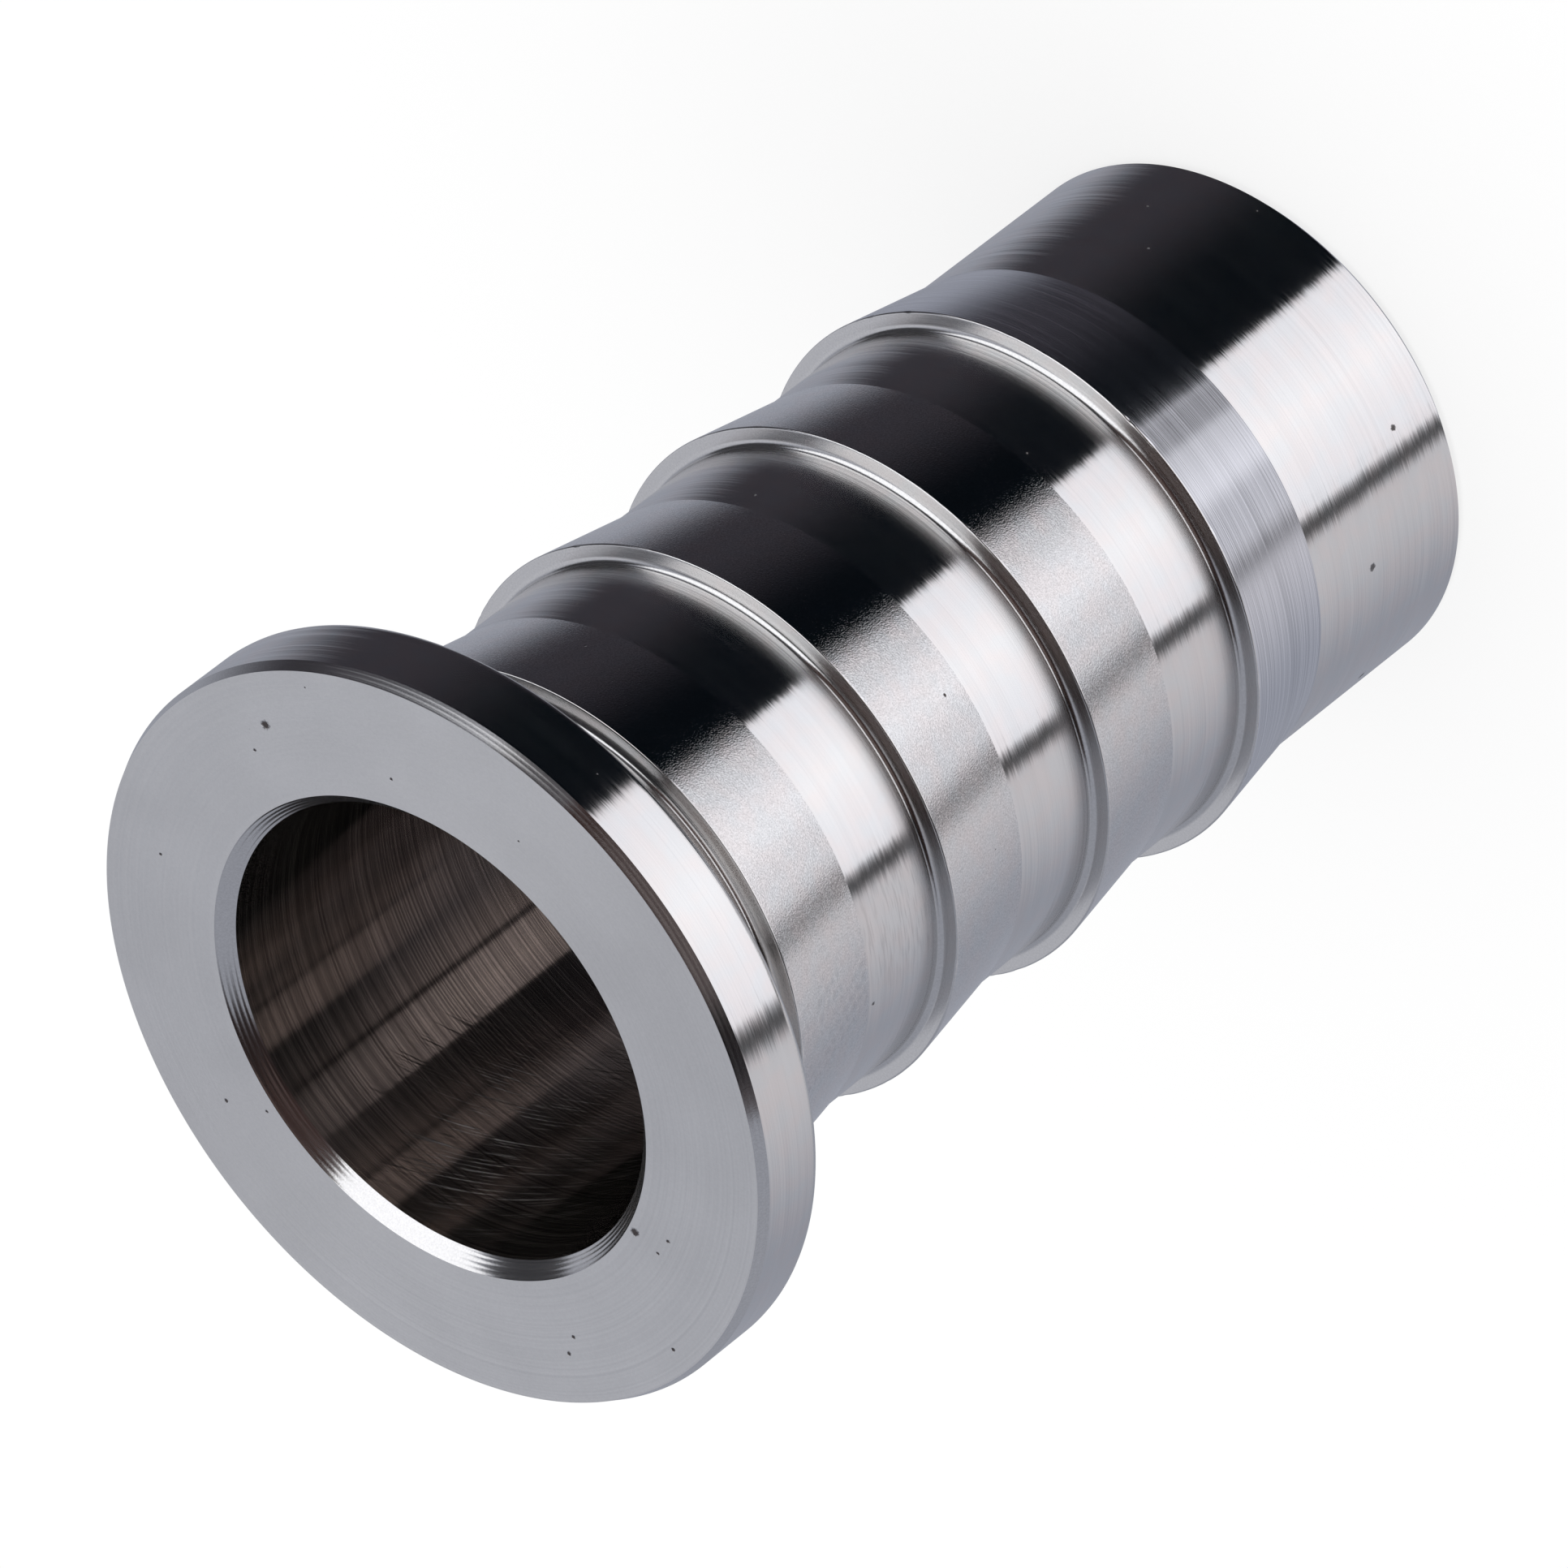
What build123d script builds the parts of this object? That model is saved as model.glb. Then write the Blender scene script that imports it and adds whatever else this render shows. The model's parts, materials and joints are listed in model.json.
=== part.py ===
"""Barbed insert for the end of a tube, turned in one piece from stainless steel bar.

The part stands on its plain end, with +Z along its axis and the flange on top. A half section
is drawn beside the axis, radius across and height up, and is turned once round.
"""
from build123d import *
import os

# Tube that the insert goes into
tube_outside = 22.0
tube_bore = 16.0

# Wall, with the bore right through it
stem_clearance = 0.25
wall = 0.95
mouth_chamfer = 0.4
tail_chamfer = 0.2

# Flange, as wide as the tube, which stops at the tube's end
flange_thickness = 2.4
front_edge_width = 0.15
front_edge_depth = 0.32
back_edge = 0.3

# Barbs, with their square shoulders towards the flange
barb_height = 0.55
barb_count = 4
neck_length = 2.67
taper_length = 3.47
land_length = 3.01
root_radius = 0.06

# Plain end, which enters the tube first
plain_length = 6.37
end_edge = 0.25

# Radii and heights worked out from the sizes above
flange_radius = tube_outside / 2
stem_radius = tube_bore / 2 - stem_clearance
bore_radius = stem_radius - wall
crest_radius = stem_radius + barb_height
barb_pitch = taper_length + land_length
barbs_length = barb_count * barb_pitch - land_length
flange_back = plain_length + barbs_length + neck_length
overall_length = flange_back + flange_thickness


def bore_side():
    """Points up the inside, from the plain end to the flange's face."""
    return [
        (bore_radius + tail_chamfer, 0),
        (bore_radius, tail_chamfer),
        (bore_radius, overall_length - mouth_chamfer),
        (bore_radius + mouth_chamfer, overall_length),
    ]


def flange_side():
    """Points down the outside of the flange, to the corner behind it."""
    return [
        (flange_radius - front_edge_width, overall_length),
        (flange_radius, overall_length - front_edge_depth),
        (flange_radius, flange_back + back_edge),
        (flange_radius - back_edge, flange_back),
        (stem_radius, flange_back),
    ]


def barb_side(number):
    """Points of one barb, from the root of its shoulder to the foot of its taper."""
    shoulder = flange_back - neck_length - number * barb_pitch
    return [
        (stem_radius, shoulder),
        (crest_radius, shoulder),
        (stem_radius, shoulder - taper_length),
    ]


def end_side():
    """Points of the plain end's outer edge."""
    return [
        (stem_radius, end_edge),
        (stem_radius - end_edge, 0),
    ]


def half_section():
    """Closed half section, with the inside corners rounded by the tool's nose."""
    points = bore_side() + flange_side()
    corners = [Vector(*points[-1])]
    for number in range(barb_count):
        barb = barb_side(number)
        corners.append(Vector(*barb[0]))
        points += barb
    points += end_side()
    section = make_face(Polyline(*points, close=True))
    inside = [vertex for vertex in section.vertices() if vertex.center() in corners]
    return fillet(inside, min(root_radius, barb_height / 2))


tube_insert = revolve(Plane.XZ * half_section(), axis=Axis.Z)

os.makedirs("parts", exist_ok=True)
export_step(tube_insert, "parts/tube_insert.step")
print("overall length", round(overall_length, 3), "volume", round(tube_insert.volume, 2))
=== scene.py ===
"""Barbed tube insert turned from stainless steel bar: its finish, and a small studio round it.

The part stands on its plain end with +Z along its axis and the flange on top. One closed turned
skin takes the place of the plain solid. It carries the marks of the lathe: fine rings, matt
tapers, brushed last taper, stepped mouth, scratched bore and small nicks along the crests.
"""
import json
import math

import bpy
import numpy as np
from mathutils import Matrix


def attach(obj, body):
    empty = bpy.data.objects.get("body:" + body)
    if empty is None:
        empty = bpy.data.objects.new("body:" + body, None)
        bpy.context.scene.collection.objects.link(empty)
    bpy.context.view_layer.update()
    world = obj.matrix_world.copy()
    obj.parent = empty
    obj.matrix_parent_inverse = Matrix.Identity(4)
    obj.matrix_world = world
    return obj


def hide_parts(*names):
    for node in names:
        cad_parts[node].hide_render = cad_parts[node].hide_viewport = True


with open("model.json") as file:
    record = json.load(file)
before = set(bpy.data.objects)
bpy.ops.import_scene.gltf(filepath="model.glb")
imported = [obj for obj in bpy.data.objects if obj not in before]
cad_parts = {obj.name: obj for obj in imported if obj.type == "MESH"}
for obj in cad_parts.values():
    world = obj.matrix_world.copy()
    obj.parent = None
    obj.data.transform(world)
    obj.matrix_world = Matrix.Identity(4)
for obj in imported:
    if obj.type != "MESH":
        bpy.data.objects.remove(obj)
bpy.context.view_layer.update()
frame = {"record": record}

bl_info = {
    "name": "Barbed tube insert",
    "version": (1, 0, 0),
    "blender": (4, 5, 0),
    "location": "3D View > Sidebar > Tube insert",
    "description": "A turned barbed insert for a tube, with its lathe finish and a plain studio",
    "category": "Add Mesh",
}

mounts = {mount["name"]: mount for mount in frame["record"]["mounts"]}
MM = 0.001


def mount_radius(name):
    """Radius of a round mount of the frame, in metres."""
    return mounts[name]["dims"]["r_mm"] * MM


def mount_height(name):
    """Height of a mount of the frame, in metres."""
    return mounts[name]["pos_m"][2]


def length(name, default, description):
    """A length that a user can change, kept in metres."""
    return bpy.props.FloatProperty(
        name=name, default=default, min=0.0, unit="LENGTH", precision=5, description=description)


def colour(name, default, description):
    """A colour that a user can change."""
    return bpy.props.FloatVectorProperty(
        name=name, default=default, size=3, min=0.0, max=1.0, subtype="COLOR",
        description=description)


def share(name, default, description):
    """A share from 0 to 1 that a user can change."""
    return bpy.props.FloatProperty(
        name=name, default=default, min=0.0, max=1.0, subtype="FACTOR", description=description)


class InsertSizes(bpy.types.PropertyGroup):
    """Sizes of the turned skin"""
    overall_length: length("Overall length", mount_height("flange_face"),
                           "From the plain end to the flange's front face")
    flange_radius: length("Flange radius", mount_radius("flange_rim"),
                          "Radius of the flange's rim")
    flange_back: length("Flange back", mount_height("flange_back"),
                        "Height of the flange's back face")
    stem_radius: length("Stem radius", mount_radius("plain_end"),
                        "Radius of the neck, the lands and the plain end")
    bore_radius: length("Bore radius", mount_radius("bore"), "Radius of the bore")
    barb_height: length("Barb height", 0.55 * MM, "How far a crest stands out of the stem")
    neck_length: length("Neck length", 2.67 * MM, "From the flange's back to the first shoulder")
    taper_length: length("Taper length", 3.47 * MM, "From a crest down to the foot of its taper")
    land_length: length("Land length", 3.01 * MM, "Straight piece between a taper and a shoulder")
    barb_count: bpy.props.IntProperty(
        name="Barbs", default=4, min=1, description="Number of barbs along the stem")
    front_edge_width: length("Front edge width", 0.15 * MM, "Width of the flange's front edge")
    front_edge_depth: length("Front edge depth", 0.32 * MM, "Depth of the flange's front edge")
    back_edge: length("Back edge", 0.3 * MM, "Bevel at the back of the flange's rim")
    end_edge: length("End edge", 0.25 * MM, "Bevel round the plain end")
    mouth_chamfer: length("Mouth chamfer", 0.4 * MM, "Chamfer at the bore's mouth")
    tail_chamfer: length("Tail chamfer", 0.2 * MM, "Chamfer at the far end of the bore")
    root_radius: length("Root radius", 0.19 * MM,
                        "Radius left by the tool where a shoulder starts")
    crest_radius: length("Crest radius", 0.045 * MM, "Radius left on the edge of a crest")
    ring_depth: length("Mouth ring depth", 0.004 * MM, "Depth of the tool's rings in the mouth")
    nick_depth: length("Nick depth", 0.02 * MM, "Depth of the deepest nick along a crest")
    segments: bpy.props.IntProperty(
        name="Segments", default=480, min=64, max=720, description="Faces round the part")


class InsertFinish(bpy.types.PropertyGroup):
    """Colours and roughness of the bare steel"""
    steel: colour("Steel", (0.712, 0.705, 0.693), "Colour of the bare turned steel")
    bored_steel: colour("Bored steel", (0.504, 0.467, 0.445), "Colour of the steel in the bore")
    speck: colour("Speck", (0.10, 0.085, 0.08), "Colour of the dark specks")
    # Also used for the painted shade at the foot of each shoulder and in the chatter hollows
    pit_and_shade: colour("Pit", (0.36, 0.35, 0.35), "Colour of the tiny matt pits and worn lines")
    fine_roughness: share("Fine turning", 0.14, "Roughness of rim, lands and plain end")
    matt_roughness: share("Matt taper", 0.055, "Roughness of the speckled tapers")
    brushed_roughness: share("Brushed taper", 0.18, "Roughness of the last taper")
    faced_roughness: share("Faced end", 0.34, "Roughness of the flange's front face")
    edge_roughness: share("Edges", 0.17, "Roughness of the bevelled edges")
    bore_roughness: share("Bore", 0.09, "Roughness of the bore")


class InsertStudio(bpy.types.PropertyGroup):
    """Camera, lamps and surround"""
    lens: bpy.props.FloatProperty(
        name="Lens", default=411.14, min=1.0, unit="CAMERA", description="Focal length, in mm")
    camera_place: bpy.props.FloatVectorProperty(
        name="Camera place", default=(-0.00042838, -0.37063108, 0.31096317), size=3,
        subtype="TRANSLATION", unit="LENGTH", precision=5, description="Where the camera stands")
    camera_drop: bpy.props.FloatProperty(
        name="Looking down", default=math.radians(38.1348), unit="ROTATION",
        description="How far the camera looks down from the level")
    camera_roll: bpy.props.FloatProperty(
        name="Roll", default=math.radians(-127.8815), unit="ROTATION",
        description="Turn of the camera about its own line of sight")
    floor_colour: colour("Floor", (0.86, 0.86, 0.86), "Colour of the floor")
    floor_white: share("Plain white", 0.75, "Share of plain white that the floor shows")
    fill_level: bpy.props.FloatProperty(
        name="Fill light", default=1.0, min=0.0, description="Light from all round on matt things")
    lamp_power: bpy.props.FloatProperty(
        name="Lamp power", default=1.2, min=0.0, unit="POWER", description="Power of the top lamp")


# Profile


def between(start, end, steps):
    """Points on the straight line from start to end, evenly spaced, both ends included."""
    part = np.linspace(0.0, 1.0, steps + 1)[:, None]
    return np.array(start) * (1.0 - part) + np.array(end) * part


def held(start, end, margin):
    """A straight run with a point close to each end, so that smooth shading stays flat on it."""
    start, end = np.array(start), np.array(end)
    way = (end - start) / np.linalg.norm(end - start)
    return np.array([start, start + margin * way, start + 5.0 * margin * way,
                     end - 5.0 * margin * way, end - margin * way, end])


def quarter(centre, radius, first, last, steps):
    """Points centre + radius (cos, sin) of an angle that goes from first to last, in degrees."""
    angle = np.radians(np.linspace(first, last, steps + 1))[:, None]
    return np.array(centre) + radius * np.hstack([np.cos(angle), np.sin(angle)])


def rings(start, end, count, depth, steps):
    """A straight run with count shallow grooves, depth (1 - cos) / 2 taken off along its left."""
    points = between(start, end, steps)
    way = points[-1] - points[0]
    left = np.array([-way[1], way[0]]) / np.linalg.norm(way)
    part = np.linspace(0.0, 1.0, steps + 1)
    return points + left * (depth * (1.0 - np.cos(2.0 * np.pi * count * part)) / 2.0)[:, None]


FINISHES = ("fine_turned_steel", "matt_taper_steel", "brushed_taper_steel", "faced_steel",
            "shoulder_steel", "edge_steel", "mouth_steel", "bored_steel", "plain_end_steel")
CREST_STEPS, ROOT_STEPS, BACK_EDGE_STEPS = 7, 8, 6
MOUTH_RINGS, MOUTH_STEPS = 4, 32
FLAT_MARGIN = 0.01 * MM      # how far from its ends a straight run has its extra points
NICK_COUNT = 46              # nicks along each crest
SHARP_BEND = math.radians(18.0)


def barb_pitch(s):
    """Height from one shoulder to the next."""
    return s.taper_length + s.land_length


def lowest_shoulder(s):
    """Height of the shoulder next to the plain end."""
    return s.flange_back - s.neck_length - (s.barb_count - 1) * barb_pitch(s)


def half_section(s):
    """The half section as runs of (radius, height) points, each with the finish that it takes.

    It goes from the bore's far end outwards, up the outside over the barbs, over the flange and
    down the bore again, so that it closes. Each run starts where the one before it ends. The rows
    of each crest come second, from the plain end up.
    """
    stem, bore, flange = s.stem_radius, s.bore_radius, s.flange_radius
    top, back, margin = s.overall_length, s.flange_back, FLAT_MARGIN
    crest, root = s.crest_radius, s.root_radius
    tip = stem + s.barb_height
    slope = math.degrees(math.atan2(s.barb_height, s.taper_length))
    runs = [
        ("edge_steel", between((bore, s.tail_chamfer), (bore + s.tail_chamfer, 0.0), 1)),
        ("plain_end_steel", held((bore + s.tail_chamfer, 0.0), (stem - s.end_edge, 0.0), margin)),
        ("edge_steel", held((stem - s.end_edge, 0.0), (stem, s.end_edge), margin)),
    ]
    start = (stem, s.end_edge)
    crests = []
    for number in range(s.barb_count):
        shoulder = lowest_shoulder(s) + number * barb_pitch(s)
        foot = (stem, shoulder - s.taper_length)
        bend = quarter((tip - crest, shoulder - crest), crest, -slope, 90.0, CREST_STEPS)
        taper = "brushed_taper_steel" if number == 0 else "matt_taper_steel"
        runs += [("fine_turned_steel", held(start, foot, margin)),
                 (taper, held(foot, bend[0], margin))]
        first_row = sum(len(run) - 1 for _, run in runs)
        crests.append(slice(first_row, first_row + CREST_STEPS))
        runs += [("edge_steel", bend),
                 ("shoulder_steel", held(bend[-1], (stem + root, shoulder), margin)),
                 ("shoulder_steel", quarter((stem + root, shoulder + root), root,
                                            -90.0, -180.0, ROOT_STEPS))]
        start = (stem, shoulder + root)
    runs += [
        ("fine_turned_steel", held(start, (stem, back - root), margin)),
        ("shoulder_steel", quarter((stem + root, back - root), root, 180.0, 90.0, ROOT_STEPS)),
        ("shoulder_steel", held((stem + root, back), (flange - s.back_edge, back), margin)),
        ("edge_steel", quarter((flange - s.back_edge, back + s.back_edge), s.back_edge,
                               -90.0, 0.0, BACK_EDGE_STEPS)),
        ("fine_turned_steel", held((flange, back + s.back_edge),
                                   (flange, top - s.front_edge_depth), margin)),
        ("edge_steel", held((flange, top - s.front_edge_depth),
                            (flange - s.front_edge_width, top), margin)),
        ("faced_steel", held((flange - s.front_edge_width, top),
                             (bore + s.mouth_chamfer, top), margin)),
        ("mouth_steel", rings((bore + s.mouth_chamfer, top), (bore, top - s.mouth_chamfer),
                              MOUTH_RINGS, s.ring_depth, MOUTH_STEPS)),
        ("bored_steel", held((bore, top - s.mouth_chamfer), (bore, s.tail_chamfer), margin)),
    ]
    return runs, crests


def nicks(s, angle, seed):
    """Depth taken off a crest at each angle: a sum of narrow bell curves at places drawn once."""
    draw = np.random.default_rng(seed)
    place = draw.uniform(0.0, 2.0 * np.pi, NICK_COUNT)[:, None]
    depth = s.nick_depth * draw.uniform(0.15, 1.0, NICK_COUNT)[:, None] ** 3
    width = draw.uniform(0.006, 0.016, NICK_COUNT)[:, None]
    away = (angle[None, :] - place + np.pi) % (2.0 * np.pi) - np.pi
    return np.minimum((depth * np.exp(-(away / width) ** 2)).sum(0), s.nick_depth)


def turned_skin(s):
    """Vertices, faces, finish of each face, texture places and sharp edges of the turned skin.

    A point of the half section at (radius, height) is carried round the axis to
    (radius cos angle, radius sin angle, height). Texture u is the share of the turn and v is the
    share of the way along the section. Edges where the section bends by over SHARP_BEND are sharp.
    """
    runs, crests = half_section(s)
    points = np.vstack([run[:-1] for _, run in runs])
    finish = np.concatenate([np.full(len(run) - 1, FINISHES.index(name)) for name, run in runs])
    rows, columns = len(points), s.segments
    step = np.roll(points, -1, 0) - points
    span = np.linalg.norm(step, axis=1)
    along = np.concatenate([[0.0], np.cumsum(span)])
    heading = np.arctan2(step[:, 1], step[:, 0])
    bend = np.abs((heading - np.roll(heading, 1) + np.pi) % (2.0 * np.pi) - np.pi)
    sharp_row = bend > SHARP_BEND

    angle = np.linspace(0.0, 2.0 * np.pi, columns, endpoint=False)
    radius = np.repeat(points[:, :1], columns, 1)
    height = np.repeat(points[:, 1:], columns, 1)
    for number, crest_rows in enumerate(crests):
        radius[crest_rows] -= nicks(s, angle, 41 + number)
    place = np.stack([radius * np.cos(angle), radius * np.sin(angle), height], -1).reshape(-1, 3)

    row, column = np.meshgrid(np.arange(rows), np.arange(columns), indexing="ij")
    next_row, next_column = (row + 1) % rows, (column + 1) % columns
    here, above = row * columns, next_row * columns
    faces = np.stack([here + column, here + next_column, above + next_column, above + column],
                     -1).reshape(-1, 4)
    u, v = column / columns, along[row] / along[-1]
    u_next, v_next = (column + 1) / columns, along[row + 1] / along[-1]
    texture = np.stack([u, v, u_next, v, u_next, v_next, u, v_next], -1).reshape(-1, 2)
    kinds, sharp = np.repeat(finish, columns), np.repeat(sharp_row, columns)
    return place, faces, kinds, texture, sharp, along[-1]


def flat_list(values, kind):
    """A numpy array as the plain run of numbers that foreach_set takes."""
    return np.ascontiguousarray(values, kind).ravel()


def mesh_of(name, columns, place, faces, finish, texture, sharp_vertex):
    """A smooth mesh with each face's finish as its material index, a texture map and marked sharp
    rings.
    """
    mesh = bpy.data.meshes.new(name)
    mesh.vertices.add(len(place))
    mesh.vertices.foreach_set("co", flat_list(place, np.float32))
    mesh.loops.add(faces.size)
    mesh.loops.foreach_set("vertex_index", flat_list(faces, np.int32))
    mesh.polygons.add(len(faces))
    mesh.polygons.foreach_set("loop_start", np.arange(0, faces.size, 4, dtype=np.int32))
    mesh.polygons.foreach_set("material_index", flat_list(finish, np.int32))
    mesh.update(calc_edges=True)
    mesh.polygons.foreach_set("use_smooth", np.ones(len(faces), bool))
    ends = np.empty(len(mesh.edges) * 2, np.int32)
    mesh.edges.foreach_get("vertices", ends)
    one, other = ends.reshape(-1, 2).T
    along_ring = one // columns == other // columns
    mesh.edges.foreach_set("use_edge_sharp", along_ring & sharp_vertex[one])
    layer = mesh.uv_layers.new(name="around_and_along")
    layer.uv.foreach_set("vector", flat_list(texture, np.float32))
    mesh.validate()
    return mesh


# Shader wiring


def add(tree, kind, **settings):
    """A new node of the given kind, with its plain settings filled in."""
    node = tree.nodes.new(kind)
    for key, value in settings.items():
        setattr(node, key, value)
    return node


def plug(tree, socket, value):
    """Joins a value to a socket: a link where it is another node's output, else a number."""
    if isinstance(value, bpy.types.NodeSocket):
        tree.links.new(value, socket)
    else:
        socket.default_value = value


def value(tree, operation, a, b=0.0, c=0.0):
    """One step of arithmetic on up to three values."""
    node = add(tree, "ShaderNodeMath", operation=operation)
    for socket, given in zip(node.inputs, (a, b, c)):
        plug(tree, socket, given)
    return node.outputs[0]


def vector(tree, operation, a, b=(0.0, 0.0, 0.0)):
    """One step of arithmetic on vectors. A distance comes out as a value."""
    node = add(tree, "ShaderNodeVectorMath", operation=operation)
    plug(tree, node.inputs[0], a)
    plug(tree, node.inputs[1], b)
    return node.outputs["Value" if operation == "DISTANCE" else "Vector"]


def scaled(tree, given, by):
    """A vector times a value."""
    node = add(tree, "ShaderNodeVectorMath", operation="SCALE")
    plug(tree, node.inputs[0], given)
    plug(tree, node.inputs["Scale"], by)
    return node.outputs["Vector"]


def spread(tree, given, low, high, to_low=0.0, to_high=1.0, smooth=False):
    """A value moved from one range to another, held at both ends."""
    node = add(tree, "ShaderNodeMapRange",
               interpolation_type="SMOOTHSTEP" if smooth else "LINEAR", clamp=True)
    for name, number in zip(("Value", "From Min", "From Max", "To Min", "To Max"),
                            (given, low, high, to_low, to_high)):
        plug(tree, node.inputs[name], number)
    return node.outputs["Result"]


def blend(tree, mask, below, above):
    """Colour below where the mask is 0 and above where it is 1."""
    node = add(tree, "ShaderNodeMix", data_type="RGBA")
    plug(tree, node.inputs["Factor"], mask)
    for socket, given in ((node.inputs[6], below), (node.inputs[7], above)):
        given = given if isinstance(given, bpy.types.NodeSocket) else (*given[:3], 1.0)
        plug(tree, socket, given)
    return node.outputs[2]


def joined(tree, x, y, z):
    """Three values as a vector."""
    node = add(tree, "ShaderNodeCombineXYZ")
    for socket, given in zip(node.inputs, (x, y, z)):
        plug(tree, socket, given)
    return node.outputs[0]


def split(tree, given):
    """The three values of a vector."""
    node = add(tree, "ShaderNodeSeparateXYZ")
    plug(tree, node.inputs[0], given)
    return node.outputs


def noise(tree, place, scale, detail, roughness=0.55):
    """Soft noise from 0 to 1 at a place."""
    node = add(tree, "ShaderNodeTexNoise", noise_dimensions="3D")
    for name, given in (("Vector", place), ("Scale", scale), ("Detail", detail),
                        ("Roughness", roughness)):
        plug(tree, node.inputs[name], given)
    return node.outputs["Fac"]


def new_group(name, inputs, outputs):
    """An empty shader node group with named inputs and outputs, and its two end nodes."""
    tree = bpy.data.node_groups.new(name, "ShaderNodeTree")
    for label, kind, default in inputs:
        socket = tree.interface.new_socket(label, in_out="INPUT", socket_type=kind)
        socket.default_value = default
    for label, kind in outputs:
        tree.interface.new_socket(label, in_out="OUTPUT", socket_type=kind)
    return tree, tree.nodes.new("NodeGroupInput").outputs, tree.nodes.new("NodeGroupOutput").inputs


def use(tree, name, **given):
    """A group placed in a tree with its own values. Underscores in names stand for spaces."""
    node = add(tree, "ShaderNodeGroup", node_tree=bpy.data.node_groups[name])
    for label, number in given.items():
        plug(tree, node.inputs[label.replace("_", " ")], number)
    return node.outputs


def object_mm(tree):
    """Place on the part in mm."""
    return vector(tree, "MULTIPLY", add(tree, "ShaderNodeTexCoord").outputs["Object"],
                  (1000.0, 1000.0, 1000.0))


def surface_mm(tree):
    """Place on the part in mm: (x, y, way along the section), which follows the lathe's rings."""
    x, y, _ = split(tree, object_mm(tree))
    along = split(tree, add(tree, "ShaderNodeUVMap", uv_map="around_and_along").outputs[0])[1]
    return x, y, value(tree, "MULTIPLY", along, bpy.context.scene["section_length_mm"])


# Node groups


FLOAT = "NodeSocketFloat"
NOISE_GAIN = 9.0             # brings the usual swing of noise about its middle to 1
OTHER_RINGS = 371.3          # so far along the noise that it has nothing to do with the first


def lathe_rings_group():
    """Fine rings left by the tool, as a tilt of the surface that differs from ring to ring.

    Noise stretched round the part and short along its section gives each ring a slope. Tilt is the
    usual slope across the rings, Sway the usual slope along them, and Lean a slope that all share.
    """
    tree, given, out = new_group(
        "lathe_rings",
        (("Pitch", FLOAT, 0.08), ("Arc", FLOAT, 6.0), ("Tilt", FLOAT, 0.05),
         ("Sway", FLOAT, 0.002), ("Lean", FLOAT, 0.0)),
        (("Normal", "NodeSocketVector"), ("Tone", FLOAT)))
    x, y, along = surface_mm(tree)
    x, y = value(tree, "DIVIDE", x, given["Arc"]), value(tree, "DIVIDE", y, given["Arc"])
    along = value(tree, "DIVIDE", along, given["Pitch"])
    tone = noise(tree, joined(tree, x, y, along), 1.0, 1.0, 0.5)
    other = noise(tree, joined(tree, x, y, value(tree, "ADD", along, OTHER_RINGS)), 1.0, 1.0, 0.5)
    normal = add(tree, "ShaderNodeNewGeometry").outputs["Normal"]
    around = add(tree, "ShaderNodeTangent", direction_type="RADIAL", axis="Z").outputs[0]
    across = vector(tree, "CROSS_PRODUCT", normal, around)
    tilt = value(tree, "MULTIPLY", value(tree, "SUBTRACT", tone, 0.5), given["Tilt"])
    sway = value(tree, "MULTIPLY", value(tree, "SUBTRACT", other, 0.5), given["Sway"])
    tilt = value(tree, "MULTIPLY_ADD", tilt, NOISE_GAIN, given["Lean"])
    sway = value(tree, "MULTIPLY", sway, NOISE_GAIN)
    tilted = vector(tree, "ADD", normal, scaled(tree, across, tilt))
    tilted = vector(tree, "ADD", tilted, scaled(tree, around, sway))
    plug(tree, out["Normal"], vector(tree, "NORMALIZE", tilted))
    plug(tree, out["Tone"], spread(tree, tone, 0.3, 0.7))


def speckle_group():
    """Fine grain the same in all directions, as a matt turned or blasted skin has."""
    tree, given, out = new_group(
        "speckle", (("Grain", FLOAT, 0.06), ("Depth", FLOAT, 0.001)),
        (("Height", FLOAT), ("Tone", FLOAT)))
    tone = noise(tree, object_mm(tree), value(tree, "DIVIDE", 1.0, given["Grain"]), 2.0, 0.6)
    plug(tree, out["Tone"], spread(tree, tone, 0.3, 0.7))
    plug(tree, out["Height"], value(tree, "MULTIPLY", tone, given["Depth"]))


def pits_group():
    """Small round pits scattered over the skin: one in a cell, in a share of the cells."""
    tree, given, out = new_group(
        "pits", (("Spacing", FLOAT, 1.5), ("Size", FLOAT, 0.05), ("Share", FLOAT, 0.4)),
        (("Mask", FLOAT),))
    cells = add(tree, "ShaderNodeTexVoronoi", voronoi_dimensions="3D", feature="F1")
    plug(tree, cells.inputs["Vector"], object_mm(tree))
    plug(tree, cells.inputs["Scale"], value(tree, "DIVIDE", 1.0, given["Spacing"]))
    away = value(tree, "MULTIPLY", cells.outputs["Distance"], given["Spacing"])
    chance = split(tree, cells.outputs["Color"])
    size = value(tree, "MULTIPLY", given["Size"], value(tree, "ADD", chance[1], 0.4))
    inside = spread(tree, away, value(tree, "MULTIPLY", size, 0.5), size, 1.0, 0.0, smooth=True)
    chosen = value(tree, "LESS_THAN", chance[0], given["Share"])
    plug(tree, out["Mask"], value(tree, "MULTIPLY", inside, chosen))


def mark_group():
    """One pit at a chosen place, in mm, with a slightly ragged outline."""
    tree, given, out = new_group(
        "mark", (("Place", "NodeSocketVector", (0.0, 0.0, 0.0)), ("Size", FLOAT, 0.1)),
        (("Mask", FLOAT),))
    place, size = object_mm(tree), given["Size"]
    half = value(tree, "MULTIPLY", size, 0.45)
    ragged = value(tree, "MULTIPLY_ADD", noise(tree, place, 14.0, 1.0), 2.0, -1.0)
    away = vector(tree, "DISTANCE", place, given["Place"])
    away = value(tree, "MULTIPLY_ADD", ragged, half, away)
    plug(tree, out["Mask"], spread(tree, away, half, size, 1.0, 0.0, smooth=True))


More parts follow.
